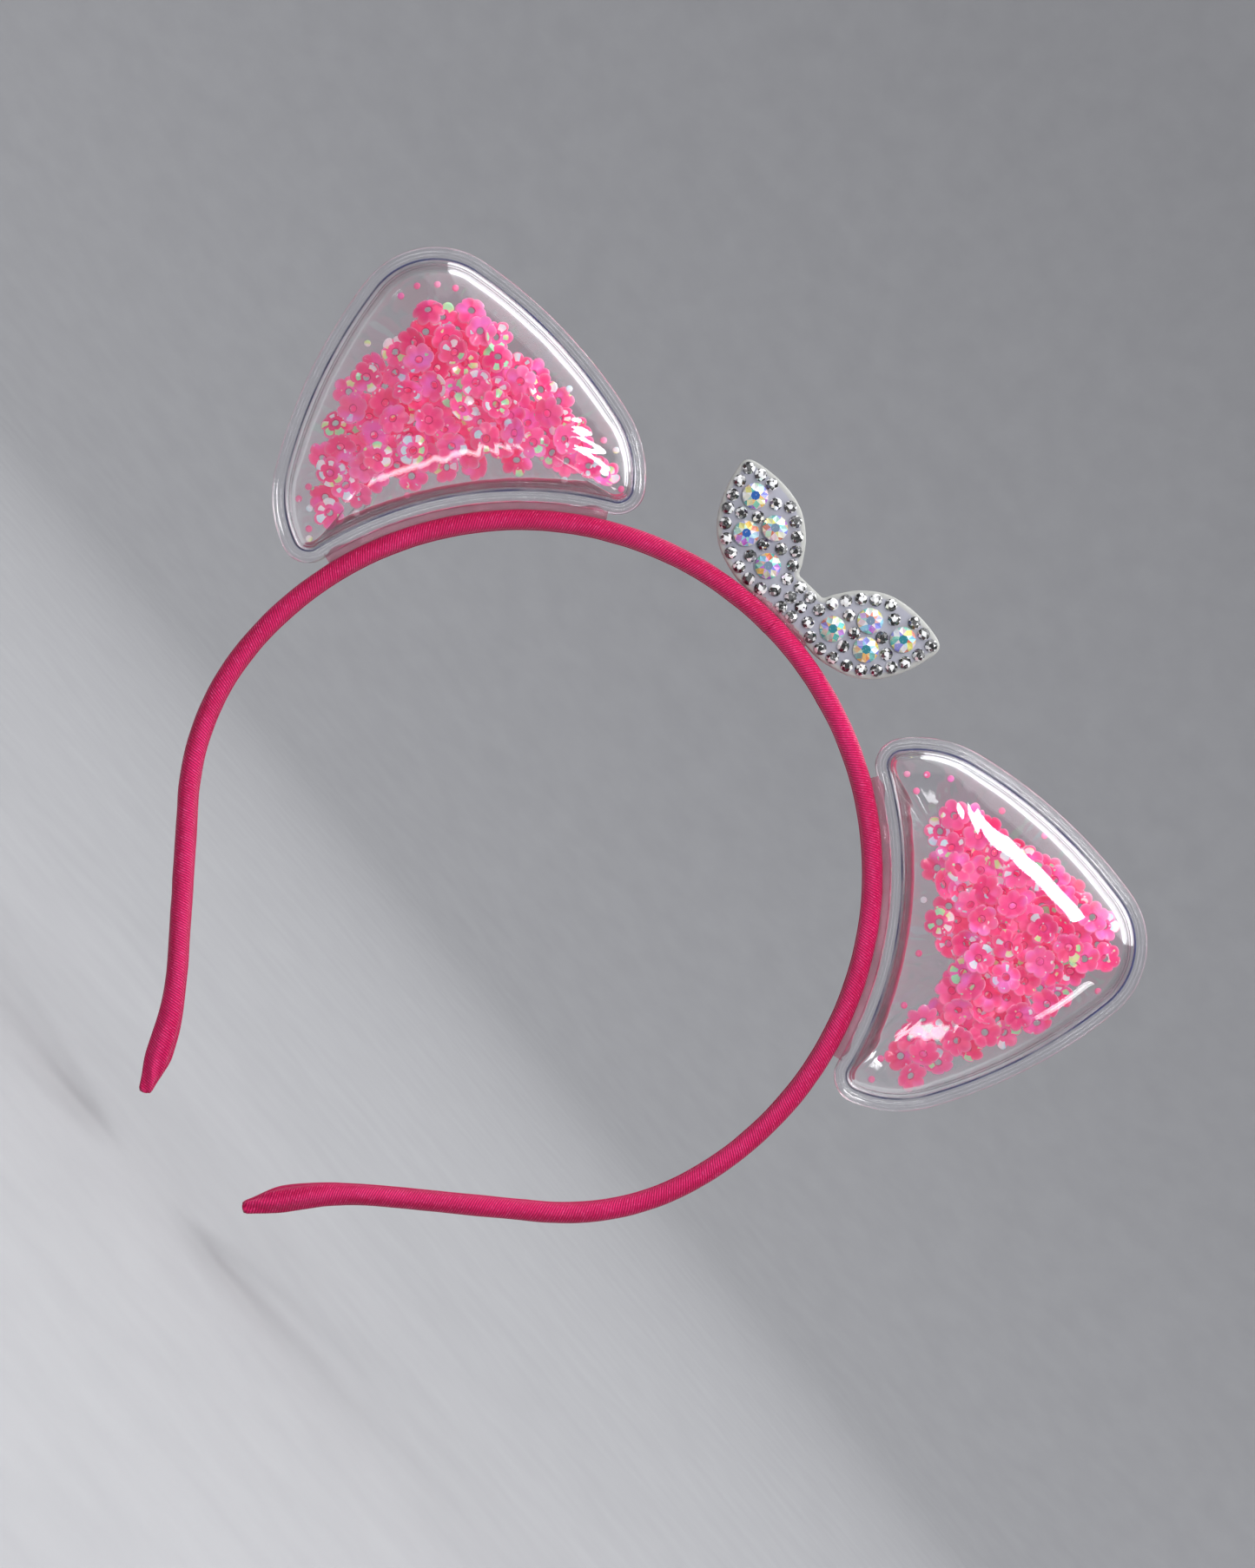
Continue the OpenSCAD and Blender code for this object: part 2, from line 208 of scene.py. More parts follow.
# Materials ----------------------------------------------------------------------
class Paint:
    """A short way to write a node material."""

    def __init__(self, name):
        self.mat = bpy.data.materials.new(name)
        self.mat.use_nodes = True
        self.tree = self.mat.node_tree
        self.tree.nodes.clear()
        self.out = self.node("ShaderNodeOutputMaterial")

    def node(self, kind, **values):
        n = self.tree.nodes.new(kind)
        for key, value in values.items():
            if hasattr(n, key) and key not in n.inputs:
                setattr(n, key, value)
            else:
                self.put(n, key, value)
        return n

    def put(self, n, key, value):
        socket = n.inputs[key]
        if isinstance(value, bpy.types.NodeSocket):
            self.tree.links.new(value, socket)
        else:
            socket.default_value = value

    def attribute(self, name):
        return self.node("ShaderNodeAttribute", attribute_name=name).outputs["Fac"]

    def colour_attribute(self, name):
        return self.node("ShaderNodeAttribute", attribute_name=name).outputs["Color"]

    def place(self):
        return self.node("ShaderNodeTexCoord").outputs["Object"]

    def maths(self, operation, a, b=0.0):
        n = self.node("ShaderNodeMath", operation=operation)
        self.put(n, 0, a)
        self.put(n, 1, b)
        return n.outputs[0]

    def times(self, a, b):
        return self.maths("MULTIPLY", a, b)

    def plus(self, a, b):
        return self.maths("ADD", a, b)

    def noise(self, scale, detail=2.0, roughness=0.5):
        n = self.node("ShaderNodeTexNoise", Scale=scale, Detail=detail, Roughness=roughness)
        self.put(n, "Vector", self.place())
        return n.outputs["Fac"]

    def ramp(self, fac, stops):
        n = self.node("ShaderNodeValToRGB")
        self.put(n, "Fac", fac)
        while len(n.color_ramp.elements) < len(stops):
            n.color_ramp.elements.new(0.5)
        for element, (at, colour) in zip(n.color_ramp.elements, stops):
            element.position = at
            element.color = (*colour, 1)
        return n.outputs["Color"]

    def mix(self, fac, a, b):
        n = self.node("ShaderNodeMix", data_type="RGBA")
        self.put(n, "Factor", fac)
        for name, value in (("A", a), ("B", b)):
            socket = [s for s in n.inputs if s.name == name and s.type == "RGBA"][0]
            if isinstance(value, bpy.types.NodeSocket):
                self.tree.links.new(value, socket)
            else:
                socket.default_value = (*value, 1)
        return [s for s in n.outputs if s.type == "RGBA"][0]

    def span(self, fac, low, high, to_low, to_high):
        """Carries one range of values over to another, and holds it at the ends."""
        n = self.node("ShaderNodeMapRange", clamp=True)
        self.put(n, "Value", fac)
        self.put(n, "From Min", low)
        self.put(n, "From Max", high)
        self.put(n, "To Min", to_low)
        self.put(n, "To Max", to_high)
        return n.outputs["Result"]

    def bump(self, height, strength, distance):
        n = self.node("ShaderNodeBump", Height=height, Strength=strength, Distance=distance)
        return n.outputs["Normal"]

    def shader(self, kind, **values):
        return self.node(kind, **values).outputs[0]

    def principled(self, **values):
        n = self.node("ShaderNodeBsdfPrincipled")
        for key, value in values.items():
            key = key.replace("_", " ")
            if isinstance(value, tuple) and len(value) == 3:
                value = (*value, 1)
            self.put(n, key, value)
        return n.outputs[0]

    def mix_shader(self, fac, a, b):
        n = self.node("ShaderNodeMixShader")
        self.put(n, 0, fac)
        self.put(n, 1, a)
        self.put(n, 2, b)
        return n.outputs[0]

    def finish(self, shader):
        self.tree.links.new(shader, self.out.inputs["Surface"])
        return self.mat


RIB_PITCH = 0.42 * MM
RIB_SLANT = 6400.0
YARN_PITCH = 0.19 * MM


def satin_material():
    """Twill-ribbed satin: fine slanting ribs, a lengthwise painted sheen, painted shade on the flat faces and
    between the ribs, painted glints, and small changes of shade.
    """
    p = Paint("satin")
    along = p.attribute("along")
    across = p.attribute("across")
    lengthwise = p.times(along, 2 * math.pi / RIB_PITCH)
    slant = p.plus(lengthwise, p.times(across, RIB_SLANT))
    wander = p.times(p.noise(300.0, 2.0), 5.0)
    rib = p.span(p.maths("SINE", p.plus(slant, wander)), -1.0, 1.0, 0.0, 1.0)
    yarn = p.maths("SINE", p.times(across, 2 * math.pi / YARN_PITCH))
    shade = p.noise(90.0, 3.0)
    fleck = p.noise(2100.0, 2.0)
    colour = p.ramp(shade, [(0.3, (0.52, 0.0015, 0.066)), (0.65, (0.70, 0.003, 0.110))])

    # A painted sheen, a paler streak, runs along the band's two round edges, a little off their middle,
    # patchy in strength.
    # The flat faces are deeper with painted shade.
    round_edge = math.pi * BAND_T / 2
    perimeter = 2 * (BAND_W - BAND_T + round_edge)
    turn = p.times(across, 4 * math.pi / perimeter)
    edge_middle = 2 * math.pi * round_edge / perimeter
    off_middle = 0.5
    edge_on = p.maths("COSINE", p.plus(turn, edge_middle - off_middle))
    sheen_variation = p.span(p.noise(140.0, 2.0), 0.35, 0.65, 0.45, 1.0)
    painted_sheen = p.times(p.span(edge_on, 0.60, 1.0, 0.0, 0.80), sheen_variation)
    # Painted shade on the flat faces, then the painted sheen along the round edges
    colour = p.mix(p.span(edge_on, -1.0, 0.25, 0.60, 0.0), colour, (0.30, 0.0, 0.035))
    colour = p.mix(painted_sheen, colour, (0.88, 0.030, 0.190))

    # Painted shade deep between the ribs, with painted glints, fine flecks of light, on them
    colour = p.mix(p.span(rib, 0.0, 0.75, 0.70, 0.0), colour, (0.22, 0.0, 0.028))
    glint = p.times(p.span(fleck, 0.52, 0.72, 0.0, 0.75), p.span(rib, 0.3, 0.9, 0.0, 1.0))
    colour = p.mix(glint, colour, (0.90, 0.09, 0.30))
    height = p.plus(rib, p.times(yarn, 0.3))
    height = p.plus(height, p.times(fleck, 0.6))
    body = p.principled(
        Base_Color=colour,
        Roughness=p.span(rib, 0.0, 1.0, 0.46, 0.29),
        Specular_IOR_Level=0.75,
        Specular_Tint=(1.0, 0.30, 0.50),
        Sheen_Weight=0.08,
        Sheen_Roughness=0.35,
        Sheen_Tint=(1.0, 0.22, 0.42),
        Normal=p.bump(height, 0.60, 0.13 * MM),
    )
    return p.finish(body)


def core_material():
    """Plain moulded plastic, hidden under the satin."""
    p = Paint("core_plastic")
    grain = p.noise(900.0, 3.0)
    colour = p.ramp(p.noise(60.0), [(0.35, (0.25, 0.01, 0.06)), (0.7, (0.34, 0.02, 0.09))])
    body = p.principled(
        Base_Color=colour,
        Roughness=p.span(grain, 0.3, 0.7, 0.4, 0.55),
        Normal=p.bump(grain, 0.15, 0.1 * MM),
    )
    return p.finish(body)


def vinyl_material():
    """Clear film: what is behind shows through, with a crisp reflection, pale crests that are a painted
    highlight and a dark line at the weld."""
    p = Paint("clear_vinyl")
    dimple = p.noise(45.0, 1.0)
    scratch = p.noise(2200.0, 2.0, roughness=0.6)
    height = p.plus(dimple, p.times(scratch, 0.004))
    normal = p.bump(height, 0.05, 1.0 * MM)
    gloss = p.shader("ShaderNodeBsdfGlossy", Color=(1, 1, 1, 1), Roughness=0.03, Normal=normal)
    clear = p.shader("ShaderNodeBsdfTransparent", Color=(0.992, 0.988, 0.994, 1))
    fresnel = p.node("ShaderNodeFresnel", IOR=1.5, Normal=normal).outputs[0]
    film = p.mix_shader(p.span(fresnel, 0.03, 0.85, 0.035, 0.80), clear, gloss)
    # Pale, patchy painted highlight on the weld's raised crests and cut edge
    patchy = p.span(p.noise(380.0, 2.0), 0.3, 0.7, 0.06, 0.30)
    pale = p.principled(Base_Color=(0.86, 0.86, 0.92), Roughness=0.25, Specular_IOR_Level=0.7)
    film = p.mix_shader(p.times(p.attribute("crest_highlight"), patchy), film, pale)
    uneven = p.span(p.noise(110.0, 1.0), 0.36, 0.62, 0.30, 0.92)
    navy = p.principled(Base_Color=(0.018, 0.030, 0.16), Roughness=0.12, Specular_IOR_Level=0.8)
    film = p.mix_shader(p.times(p.attribute("line"), uneven), film, navy)
    return p.finish(film)


# Painted glint colours: mint, yellow, white, ice, turquoise and lilac, as the film flashes from one place to
# the next
GLINT_COLOURS = [
    (0.34, (0.42, 1.0, 0.60)), (0.42, (0.80, 1.0, 0.42)), (0.47, (1.0, 1.0, 1.0)), (0.56, (0.85, 0.98, 1.0)),
    (0.66, (0.55, 0.95, 0.98)), (0.74, (0.96, 0.70, 1.0)),
]


def sequin_material(name, deep, bright, pale):
    """Thin pink film: each piece has its own shade and a paler cut edge, with painted shade round the middle
    hole, painted glints in changing colours on some petals, and a faint glow of painted light."""
    p = Paint(name)
    colour = p.ramp(p.attribute("own"), [(0.0, deep), (0.5, bright), (1.0, pale)])
    warm = p.noise(330.0, 1.0)
    colour = p.mix(p.span(warm, 0.52, 0.70, 0.0, 0.40), colour, (1.0, 0.15, 0.26))
    lilac = p.noise(240.0, 1.0)
    colour = p.mix(p.span(lilac, 0.52, 0.68, 0.0, 0.65), colour, (0.98, 0.28, 0.86))
    colour = p.mix(p.times(p.attribute("rim"), 0.70), colour, (1.0, 0.40, 0.62))
    # Painted shade round the middle hole
    colour = p.mix(p.times(p.attribute("throat"), 0.6), colour, (0.45, 0.0, 0.10))
    # Painted glints: chosen petals and random specks take bright glint colours
    glint_speck = p.span(p.noise(900.0, 1.0), 0.70, 0.73, 0.0, 0.9)
    painted_glint = p.maths("MAXIMUM", p.span(p.attribute("flash"), 0.35, 0.65, 0.0, 0.92), glint_speck)
    colour = p.mix(painted_glint, colour, p.ramp(p.noise(210.0, 0.0), GLINT_COLOURS))
    # The film glows a little in its own colour: painted light that brightens it
    face = p.principled(
        Base_Color=colour,
        Roughness=p.span(painted_glint, 0.0, 0.9, 0.36, 0.12),
        Specular_IOR_Level=0.55,
        Emission_Color=colour,
        Emission_Strength=0.17,
        Coat_Weight=0.25,
        Coat_Roughness=0.08,
    )
    through = p.shader("ShaderNodeBsdfTranslucent", Color=colour)
    return p.finish(p.mix_shader(0.14, face, through))


def glue_material():
    """Set hot-melt glue: clear with a pink cast from what is behind it, and a wet gloss."""
    p = Paint("glue")
    cloud = p.noise(260.0, 3.0)
    normal = p.bump(p.noise(420.0, 2.0), 0.35, 0.5 * MM)
    clear = p.shader("ShaderNodeBsdfTransparent", Color=(0.95, 0.80, 0.84, 1))
    body = p.principled(
        Base_Color=p.ramp(cloud, [(0.35, (0.42, 0.09, 0.16)), (0.65, (0.60, 0.26, 0.34))]),
        Roughness=0.12,
        Specular_IOR_Level=0.9,
        Normal=normal,
    )
    return p.finish(p.mix_shader(p.span(cloud, 0.3, 0.7, 0.16, 0.42), clear, body))


def backing_material():
    """Milky film with a faint lilac cast and a yellowish cut border."""
    p = Paint("backing_film")
    border = p.attribute("border")
    fine = p.noise(1500.0, 3.0)
    cloud = p.noise(180.0, 2.0)
    colour = p.ramp(cloud, [(0.35, (0.45, 0.45, 0.53)), (0.65, (0.53, 0.53, 0.60))])
    colour = p.mix(p.times(border, 0.75), colour, (0.56, 0.56, 0.50))
    body = p.principled(
        Base_Color=colour,
        Roughness=p.span(fine, 0.3, 0.7, 0.28, 0.45),
        Specular_IOR_Level=0.5,
        Normal=p.bump(fine, 0.25, 0.1 * MM),
    )
    through = p.shader("ShaderNodeBsdfTranslucent", Color=colour)
    return p.finish(p.mix_shader(0.25, body, through))


def stone_material(name, metallic, roughness):
    """Foil-backed cut stone: every facet has its own colour, on the clear stones a painted reflection."""
    p = Paint(name)
    facet = p.colour_attribute("facet")
    fine = p.noise(2600.0, 2.0)
    colour = p.mix(p.span(fine, 0.60, 0.75, 0.0, 0.5), facet, (1.0, 1.0, 1.0))
    return p.finish(
        p.principled(
            Base_Color=colour,
            Metallic=metallic,
            Roughness=p.span(fine, 0.3, 0.7, roughness, roughness + 0.06),
            Specular_IOR_Level=0.8,
            Coat_Weight=1.0,
            Coat_Roughness=0.03,
        )
    )


# Hoop ---------------------------------------------------------------------------
def hoop_point(s):
    """A point of the inner face, s metres from the top down the right side, and its outward direction in
    degrees from the top. A negative s runs the other way over the crown."""
    crown = CROWN_R * math.radians(CROWN_HALF_ANGLE)
    if s <= crown:
        a = math.degrees(s / CROWN_R)
        return CROWN_R * toward(a), a
    a = CROWN_HALF_ANGLE
    centre = (CROWN_R - TEMPLE_R) * toward(a)
    s -= crown
    temple = TEMPLE_R * math.radians(TEMPLE_ANGLE)
    if s <= temple:
        a += math.degrees(s / TEMPLE_R)
        return centre + TEMPLE_R * toward(a), a
    s -= temple
    a += TEMPLE_ANGLE
    point = centre + TEMPLE_R * toward(a)
    if s <= LEG_LENGTH:
        return point + s * toward(a + 90), a
    point = point + LEG_LENGTH * toward(a + 90)
    s -= LEG_LENGTH
    flare = FLARE_R * math.radians(FLARE_ANGLE)
    turned = min(s, flare)
    centre = point + FLARE_R * toward(a)
    a -= math.degrees(turned / FLARE_R)
    point = centre - FLARE_R * toward(a)
    return point + (s - turned) * toward(a + 90), a


def toward(angle):
    """One unit outward in the hoop's plane, at an angle in degrees from the top."""
    return np.array([math.sin(math.radians(angle)), math.cos(math.radians(angle))])


HOOP_HALF = (
    CROWN_R * math.radians(CROWN_HALF_ANGLE) + TEMPLE_R * math.radians(TEMPLE_ANGLE) + LEG_LENGTH
    + FLARE_R * math.radians(FLARE_ANGLE) + TIP_LENGTH
)
MEETING = CROWN_R * math.radians(BOW_ANGLE)


def flat_ring(t, w, n):
    """n points round a flat bar's section with round edges, as (outward, depth), and the length round to
    each."""
    straight = w - t
    arc = math.pi * t / 2
    total = 2 * (straight + arc)
    points = []
    for i in range(n):
        q = total * i / n
        if q < straight:
            points.append((-t / 2, q - straight / 2))
        elif q < straight + arc:
            a = (q - straight) / (t / 2)
            points.append((-t / 2 * math.cos(a), straight / 2 + t / 2 * math.sin(a)))
        elif q < 2 * straight + arc:
            points.append((t / 2, straight / 2 - (q - straight - arc)))
        else:
            a = (q - 2 * straight - arc) / (t / 2)
            points.append((t / 2 * math.cos(a), -straight / 2 - t / 2 * math.sin(a)))
    return np.array(points), np.linspace(0, total, n, endpoint=False)


def sweep_half(name, side, inset, step, around, end, shape):
    """One half of the hoop, from where the halves meet under the bow to the tip, as a closed mesh."""
    start = MEETING if side < 0 else -MEETING
    count = int((end - start) / step)
    lengths = np.linspace(start, end, count)
    rows, along, across = [], [], []
    for s in lengths:
        point, angle = hoop_point(s)
        t, w, ring_shape = shape(s)
        ring, q = flat_ring(t - 2 * inset, w - 2 * inset, around)
        ring = ring_shape(ring, q)
        out = toward(angle)
        middle = point + out * BAND_T / 2
        x = side * (middle[0] + out[0] * ring[:, 0])
        z = middle[1] + out[1] * ring[:, 0] - CROWN_R
        rows.append(np.stack([x, ring[:, 1], z], 1))
        along.append(np.full(around, s * side))
        across.append(q)
    verts = np.concatenate(rows)
    faces = strip_faces(count, around)
    n = len(verts)
    verts = np.concatenate([verts, [rows[0].mean(0), rows[-1].mean(0)]])
    faces += fan(0, around, n) + fan((count - 1) * around, around, n + 1)
    along = np.concatenate([np.concatenate(along), [start * side, end * side]])
    across = np.concatenate([np.concatenate(across), [0, 0]])
    return fix_normals(mesh_from(name, verts, faces, {"along": along, "across": across}))


# The satin's lapped seam runs along the inner face, and small folds gather it at the tips.
SEAM_AT = (BAND_W - BAND_T) * 0.18
SEAM_W = 2.2 * MM
SEAM_T = 0.17 * MM
FOLD_PITCH = 2.1 * MM


def wrap_shape(seed):
    """How the satin's section changes along the band: small lumps, the seam, and the folded, pinched tip."""
    rng = np.random.default_rng(seed)
    lumps = waves(rng, 7, 150, 900)
    creases = waves(rng, 5, 900, 2600)
    tip_start = HOOP_HALF - 2.6 * TIP_LENGTH
    swell_at = HOOP_HALF - 0.85 * TIP_LENGTH

    def shape(s):
        near = smooth_step(s, tip_start, swell_at)
        pinch = smooth_step(s, swell_at, HOOP_HALF + 0.6 * MM)
        end = smooth_step(s, HOOP_HALF - 0.5 * MM, HOOP_HALF)
        t = (BAND_T + 0.85 * MM * near - 2.35 * MM * pinch) * (1 - 0.2 * end)
        w = (BAND_W + 0.3 * MM * near - 0.5 * MM * pinch) * (1 - 0.08 * end)

        def ring_shape(ring, q):
            size = np.linalg.norm(ring, axis=1)[:, None]
            outward = ring / np.maximum(size, 1e-9)
            lift = 0.07 * MM * lumps(s, q) + 0.03 * MM * creases(s * 0.6, q)
            past = q - SEAM_AT
            lift = lift + np.where((past > 0) & (past < SEAM_W), SEAM_T * (1 - past / SEAM_W), 0)
            gather = 0.10 * MM * near + 0.14 * MM * pinch
            lift = lift + gather * np.sin(q * 2 * math.pi / FOLD_PITCH + 60 * s)
            folded = ring + outward * lift[:, None]
            folded[:, 0] += 0.35 * MM * pinch
            return folded

        return t, w, ring_shape

    return shape


def plain_shape(s):
    return BAND_T, BAND_W, lambda ring, q: ring


def joint_row(name):
    return [j for j in frame["record"]["behaviour"]["joints"] if j["name"] == name][0]


def blend_at_flex(obj):
    """Bakes the object's placement into its mesh."""
    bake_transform(obj)


def make_hoop():
    """The satin and the core, each in two halves. The right halves also stand for the crown's two nodes."""
    satin = satin_material()
    plastic = core_material()
    core_inset = WRAP_T + 0.05 * MM
    core_end = HOOP_HALF - TIP_LENGTH
    for side, sign, seed in (("left", -1, 11), ("right", 1, 12)):
        wrap = sweep_half(
            f"{side}_satin_wrap", sign, 0, step=0.30 * MM, around=72, end=HOOP_HALF, shape=wrap_shape(seed)
        )
        wrap.data.materials.append(satin)
        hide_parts(f"{side}_leg_cover", f"{side}_tip_fold", *(["crown_cover"] if sign > 0 else []))
        blend_at_flex(wrap)
        core = sweep_half(
            f"{side}_hoop_core", sign, core_inset, step=1.0 * MM, around=28, end=core_end, shape=plain_shape
        )
        core.data.materials.append(plastic)
        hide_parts(f"{side}_leg_core", *(["crown_core"] if sign > 0 else []))
        blend_at_flex(core)


# Ear outline --------------------------------------------------------------------
def ear_arcs():
    """The right half of the ear's outline from the tip to the base, as arcs: centre, radius, first and last
    angle, and -1 or 1 for the way an inset changes the radius."""
    tip = np.array([0, EAR_BASE_R + EAR_HEIGHT - EAR_TIP_R])
    side = tip + (EAR_TIP_R - EAR_SIDE_R) * toward(EAR_TIP_TURN)
    shoulder = side + (EAR_SIDE_R - EAR_SHOULDER_R) * toward(EAR_SIDE_TURN)
    reach = EAR_SHOULDER_R - EAR_CORNER_R
    orbit = EAR_BASE_R + EAR_CORNER_R
    dist = np.linalg.norm(shoulder)
    along = (orbit**2 + dist**2 - reach**2) / (2 * dist)
    off = math.sqrt(orbit**2 - along**2)
    direction = shoulder / dist
    corner = along * direction + off * np.array([direction[1], -direction[0]])
    corner_turn = bearing(corner - shoulder)
    return [
        (tip, EAR_TIP_R, 0, EAR_TIP_TURN, -1),
        (side, EAR_SIDE_R, EAR_TIP_TURN, EAR_SIDE_TURN, -1),
        (shoulder, EAR_SHOULDER_R, EAR_SIDE_TURN, corner_turn, -1),
        (corner, EAR_CORNER_R, corner_turn, bearing(-corner), -1),
        (np.zeros(2), EAR_BASE_R, bearing(corner), 0, 1),
    ]


def bearing(v):
    """The angle of a direction in degrees from the top."""
    return math.degrees(math.atan2(v[0], v[1])) % 360


EAR_ARCS = ear_arcs()
EAR_COUNTS = (22, 34, 34, 22, 44)
EAR_MIDDLE = np.array([0, EAR_BASE_R + 0.42 * EAR_HEIGHT])


def ear_outline(inset):
    """The ear's outline, moved inward, as points in its own plane."""
    half = []
    for (centre, r, first, last, sense), n in zip(EAR_ARCS, EAR_COUNTS):
        for i in range(n):
            half.append(centre + (r + sense * inset) * toward(first + (last - first) * i / n))
    half.append(np.array([0, EAR_BASE_R + inset]))
    mirrored = [np.array([-p[0], p[1]]) for p in half[-2:0:-1]]
    return np.array(half + mirrored)


def puff_share(s):
    """The dome's height as a share of the whole puff, s from the middle, 0, to the weld, 1."""
    return np.sqrt(np.clip(1 - s**2.4, 0, 1))


FOOT = ear_outline(WELD_W + SHELL_T)


def edge_share(points):
    """How far out each point of the ear's plane is: 0 in the middle, 1 at the weld's inner edge."""
    offset = points - EAR_MIDDLE
    turns = np.arctan2(offset[:, 0], offset[:, 1])
    foot = FOOT - EAR_MIDDLE
    foot = foot[np.argsort(np.arctan2(foot[:, 0], foot[:, 1]))]
    foot_turns = np.arctan2(foot[:, 0], foot[:, 1])
    reach = np.interp(turns, foot_turns, np.linalg.norm(foot, axis=1), period=2 * math.pi)
    return np.linalg.norm(offset, axis=1) / reach


def ear_to_object(points, side):
    """From an ear's own plane to the object: x along the band away from the bow, y outward, z to the
    front."""
    sign = -1 if side == "left" else 1
    angle = math.radians(EAR_ANGLES[side])
    c, s = math.cos(angle), math.sin(angle)
    x = sign * (c * points[:, 0] + s * points[:, 1])
    z = -s * points[:, 0] + c * points[:, 1] - CROWN_R
    return np.stack([x, -points[:, 2], z], 1)


def object_to_ear(points, side):
    """From the object to an ear's own plane."""
    sign = -1 if side == "left" else 1
    angle = math.radians(EAR_ANGLES[side])
    c, s = math.cos(angle), math.sin(angle)
    x, z = sign * points[:, 0], points[:, 2] + CROWN_R
    return np.stack([c * x - s * z, s * x + c * z, -points[:, 1]], 1)


# How far in from the ear's edge the weld's raised lines and its dark line lie, and their size
RIM_CRESTS = (0.22 * MM, 0.80 * MM, 1.38 * MM)
CREST_W = 0.065 * MM
CREST_HEIGHT = 0.06 * MM
LINE_INSET = 2.02 * MM
LINE_W = 0.12 * MM

# How many rows of points the flat rim and the dome have
RIM_ROWS = 45
DOME_ROWS = 36


def ridge(inset, at, width):
    return math.exp(-(((inset - at) / width) ** 2))


def make_shell(side, face, material):
    """One clear shell: the welded rim with its fine raised lines, then the puffed wall with soft puckers."""
    rng = np.random.default_rng({"left": 30, "right": 40}[side] + (face == "back"))
    pucker = waves(rng, 6, 3, 9)
    ripple = waves(rng, 5, 40, 110)
    n = len(ear_outline(0))
    turns = np.linspace(0, 2 * math.pi, n, endpoint=False)
    gap = 0.02 * MM
    height = PUFF - SHELL_T - 0.05 * MM
    sizes = 1 - np.linspace(0, 1, DOME_ROWS)[1:-1] ** 1.7
    rows, crest_highlight, line = [], [], []

    def add(points, pale=0.0, dark=0.0):
        rows.append(points)
        crest_highlight.append(pale)
        line.append(dark)

    def wall(foot, size):
        q = EAR_MIDDLE + size * (foot - EAR_MIDDLE)
        near_rim = size**5 * (1 - size) * 9
        soft = 1 + 0.035 * near_rim * pucker(turns * 3, turns * 2) + 0.003 * ripple(q[:, 0], q[:, 1])
        return np.column_stack([q, height * puff_share(np.full(n, size)) * soft])

    # The cut edge and the weld's raised crests carry a painted highlight
    add(np.column_stack([ear_outline(0), np.full(n, gap)]), 0.3)
    for inset in np.linspace(0, WELD_W, RIM_ROWS):
        pale = max(ridge(inset, at, CREST_W) for at in RIM_CRESTS)
        edge = min(1, inset / (0.10 * MM))
        z = gap + SHELL_T * edge + CREST_HEIGHT * pale
        add(np.column_stack([ear_outline(inset), np.full(n, z)]), pale, ridge(inset, LINE_INSET, LINE_W))
    for size in sizes:
        add(wall(ear_outline(WELD_W), size) + [0, 0, SHELL_T])
    outer = len(rows)
    for size in sizes[::-1]:
        add(wall(FOOT, size))
    add(np.column_stack([FOOT, np.full(n, gap)]))
    verts = np.concatenate(rows)
    faces = strip_faces(outer, n) + strip_faces(len(rows) - outer, n, outer * n)
    last = (len(rows) - 1) * n
    faces += [(last + i, last + (i + 1) % n, (i + 1) % n, i) for i in range(n)]
    centre = len(verts)
    tops = [[*EAR_MIDDLE, rows[k][:, 2].mean()] for k in (outer - 1, outer)]
    verts = np.concatenate([verts, tops])
    faces += fan((outer - 1) * n, n, centre) + fan(outer * n, n, centre + 1)
    if face == "back":
        verts[:, 2] *= -1
    crest_highlight = np.append(np.repeat(crest_highlight, n), [0, 0])
    line = np.append(np.repeat(line, n), [0, 0])
    values = {"crest_highlight": crest_highlight, "line": line}
    obj = fix_normals(mesh_from(f"{side}_ear_{face}_film", ear_to_object(verts, side), faces, values))
    obj.data.materials.append(material)
    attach(obj, "headband")
    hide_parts(f"{side}_ear_{face}_shell")


# Loose fill ---------------------------------------------------------------------
def islands(node):
    """The separate solids of a CAD node, each as its vertices."""
    bm = bmesh.new()
    bm.from_mesh(frame["nodes"][node].data)
    bmesh.ops.remove_doubles(bm, verts=bm.verts, dist=1e-6)
    seen, groups = set(), []
    for v in bm.verts:
        if v.index in seen:
            continue
        stack, group = [v], []
        seen.add(v.index)
        while stack:
            u = stack.pop()
            group.append(u.co[:])
            for e in u.link_edges:
                w = e.other_vert(u)
                if w.index not in seen:
                    seen.add(w.index)
                    stack.append(w)
        groups.append(np.array(group))
    bm.free()
    groups.sort(key=lambda g: tuple(np.round(g.mean(0), 6)))
    return groups


